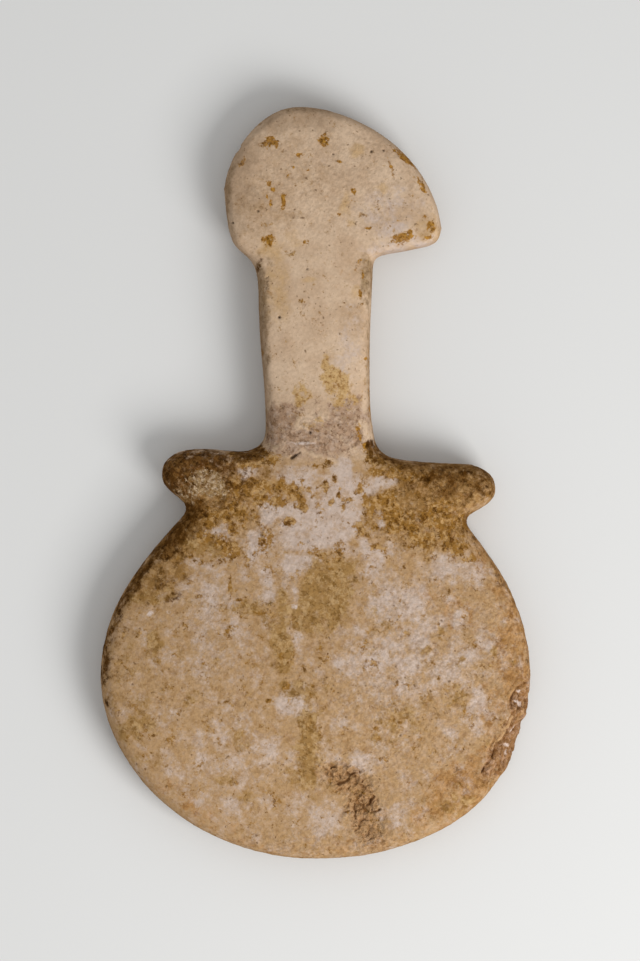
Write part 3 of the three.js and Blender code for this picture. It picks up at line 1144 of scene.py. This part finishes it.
class Coats:
    """The colours of the stone, laid over each other."""

    def __init__(self, tree):
        self.tree = tree
        self.ragged_edge = ragged_edge_group()
        place = add_node(tree, "ShaderNodeTexCoord").outputs["Object"]
        turn = {"Vector": place, "Rotation": NOISE_TURN}
        turned = add_node(tree, "ShaderNodeVectorRotate", turn, rotation_type="EULER_XYZ").outputs[0]
        in_mm = add_node(tree, "ShaderNodeVectorMath", {0: turned, "Scale": 1 / MM}, operation="SCALE")
        self.position = in_mm.outputs[0]
        self.colour = None

    def amount(self, name):
        return add_node(self.tree, "ShaderNodeAttribute", attribute_name=name).outputs["Fac"]

    def ragged(self, level, size, shift, raggedness, softness):
        inputs = {
            "Amount": level, "Position": self.position, "Fineness": 1 / size,
            "Shift": shift, "Raggedness": raggedness, "Softness": softness,
        }
        return add_node(self.tree, "ShaderNodeGroup", inputs, node_tree=self.ragged_edge).outputs["Mask"]

    def cover(self, mask, colour, share):
        """Lays one more colour on what is there already."""
        covered = worked_out(self.tree, mask, "MULTIPLY", share)
        self.colour = mixed(self.tree, covered, self.colour, colour)


def lay_bare_stone(coats):
    tree = coats.tree
    rosy = spread(tree, noise_value(tree, coats.position, ROSE_SIZE, ROSE_DETAIL), *ROSE_LEVELS)
    coats.colour = mixed(tree, rosy, PALE, PALE_ROSE)


def lay_all_stains(coats):
    tree = coats.tree
    grains = {
        size: [coats.ragged(GRAIN_COVER, size, shift, GRAIN_RAGGED, GRAIN_SOFT) for shift in GRAIN_SHIFTS]
        for size in (COARSE, MIDDLE, FINE)
    }
    for number, stain in enumerate(STAINS):
        shift = FIRST_STAIN_SHIFT + NEXT_STAIN_SHIFT * number
        mask = coats.ragged(coats.amount(stain.name), stain.size, shift, stain.ragged, stain.soft)
        coats.cover(mask, stain.colour, stain.share)
        for (colour, share), grain in zip((stain.dark, stain.pale), grains[stain.grain]):
            coats.cover(worked_out(tree, mask, "MULTIPLY", grain), colour, share)


def lay_wear_and_painted_light(coats):
    flecks_and_glints = coats.ragged(coats.amount("fleck_and_glint"), FLECK_SIZE, FLECK_SHIFT, FLECK_RAGGED, FLECK_SOFT)
    specks = noise_value(coats.tree, coats.position, SPECK_SIZE, SPECK_DETAIL)
    # dirt and painted shade in the hollows
    coats.cover(coats.amount("hollow_dirt_and_shade"), *HOLLOW_DIRT_AND_SHADE)
    # dirt and painted shade in the creases
    coats.cover(coats.amount("crease_dirt_and_shade"), *CREASE_DIRT_AND_SHADE)
    # brown crust and painted shade, darker wherever the surface turns from up
    coats.cover(coats.amount("edge"), *RIM_CRUST_AND_SHADE)
    # painted highlight on the ridges of the break
    coats.cover(coats.amount("ridge_highlight"), *RIDGE_HIGHLIGHT)
    # white flecks, and painted glints in the break
    coats.cover(flecks_and_glints, *FLECK_AND_GLINT_WHITE)
    coats.cover(spread(coats.tree, specks, *SPECK_LEVELS), *SPECK_BROWN)
    # dirt and painted shade in the pits, the gouge and the dark nick
    coats.cover(coats.amount("pit_dirt_and_shade"), *PIT_DIRT_AND_SHADE)


def speckle(coats, crystals, rough):
    """The colours of the stone, made darker and paler by its crystals."""
    tree = coats.tree
    tones = spread(tree, crystals, *CRYSTAL_LEVELS, *CRYSTAL_TONES)
    speckled = mixed(tree, 1.0, coats.colour, tones, "MULTIPLY")
    return mixed(tree, spread(tree, rough, 0, 1, *CRYSTAL_SHARES), coats.colour, speckled)


def crystal_bump(tree, crystals, rough):
    """The surface's normal, roughened by the crystals."""
    shares = {0: rough, 1: BUMP_WHERE_ROUGH, 2: BUMP_EVERYWHERE}
    share = add_node(tree, "ShaderNodeMath", shares, operation="MULTIPLY_ADD").outputs[0]
    height = worked_out(tree, crystals, "MULTIPLY", share)
    inputs = {"Height": height, "Strength": BUMP_STRENGTH, "Distance": BUMP_HEIGHT}
    return add_node(tree, "ShaderNodeBump", inputs).outputs["Normal"]


def marble():
    material = bpy.data.materials.new("weathered_marble")
    material.use_nodes = True
    tree = material.node_tree
    shader = tree.nodes["Principled BSDF"]
    coats = Coats(tree)
    lay_bare_stone(coats)
    lay_all_stains(coats)
    lay_wear_and_painted_light(coats)
    rough = coats.amount("rough")
    crystals = noise_value(tree, coats.position, CRYSTAL_SIZE, CRYSTAL_DETAIL)
    tree.links.new(speckle(coats, crystals, rough), shader.inputs["Base Color"])
    tree.links.new(spread(tree, crystals, 0, 1, *ROUGHNESS), shader.inputs["Roughness"])
    tree.links.new(crystal_bump(tree, crystals, rough), shader.inputs["Normal"])
    shader.inputs["Specular IOR Level"].default_value = GLOSS
    return material


# The piece

stone = merged_copy("idol")
lay_even_grid(stone)
smooth_and_refine(stone)
lay_stains(stone.data, *carve_relief(stone))
stone.data.shade_smooth()
stone.data.materials.append(marble())
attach(stone, "root")
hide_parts("idol")


# Floor, light and camera

def pale_floor():
    shape = bmesh.new()
    bmesh.ops.create_grid(shape, x_segments=1, y_segments=1, size=FLOOR_HALF)
    mesh = bpy.data.meshes.new("floor")
    shape.to_mesh(mesh)
    shape.free()
    floor = bpy.data.objects.new("floor", mesh)
    bpy.context.scene.collection.objects.link(floor)
    paint = bpy.data.materials.new("pale_floor")
    paint.use_nodes = True
    shader = paint.node_tree.nodes["Principled BSDF"]
    shader.inputs["Base Color"].default_value = FLOOR_COLOUR
    shader.inputs["Roughness"].default_value = FLOOR_ROUGHNESS
    shader.inputs["Specular IOR Level"].default_value = FLOOR_GLOSS
    mesh.materials.append(paint)


def soft_light():
    """A square light that looks at the middle of the stone."""
    lamp = bpy.data.lights.new("key", "AREA")
    lamp.size = LIGHT_SIZE
    lamp.energy = LIGHT_POWER
    light = bpy.data.objects.new("key", lamp)
    light.location = LIGHT_PLACE
    light.rotation_euler = (-Vector(LIGHT_PLACE)).to_track_quat("-Z", "Y").to_euler()
    bpy.context.scene.collection.objects.link(light)


def pale_surroundings():
    world = bpy.data.worlds.new("studio")
    world.use_nodes = True
    background = world.node_tree.nodes["Background"]
    background.inputs["Color"].default_value = SURROUNDING_COLOUR
    background.inputs["Strength"].default_value = SURROUNDING_LIGHT
    bpy.context.scene.world = world


def camera_above():
    """Looks straight down, from where the stone fills its box in the picture."""
    scale = (cad_box[1].y - cad_box[0].y) / (STONE_BOTTOM - STONE_TOP)
    lens = bpy.data.cameras.new("camera")
    lens.sensor_width = SENSOR_WIDTH
    lens.lens = lens.sensor_width * CAMERA_HEIGHT / (PICTURE_HEIGHT * scale)
    camera = bpy.data.objects.new("camera", lens)
    right = PICTURE_WIDTH / 2 - (STONE_LEFT + STONE_RIGHT) / 2
    down = PICTURE_HEIGHT / 2 - (STONE_TOP + STONE_BOTTOM) / 2
    camera.location = (right * scale, -down * scale, RIM_LEVEL + CAMERA_HEIGHT)
    bpy.context.scene.collection.objects.link(camera)
    bpy.context.scene.camera = camera


pale_floor()
soft_light()
pale_surroundings()
camera_above()
bpy.context.scene.view_settings.view_transform = "Standard"
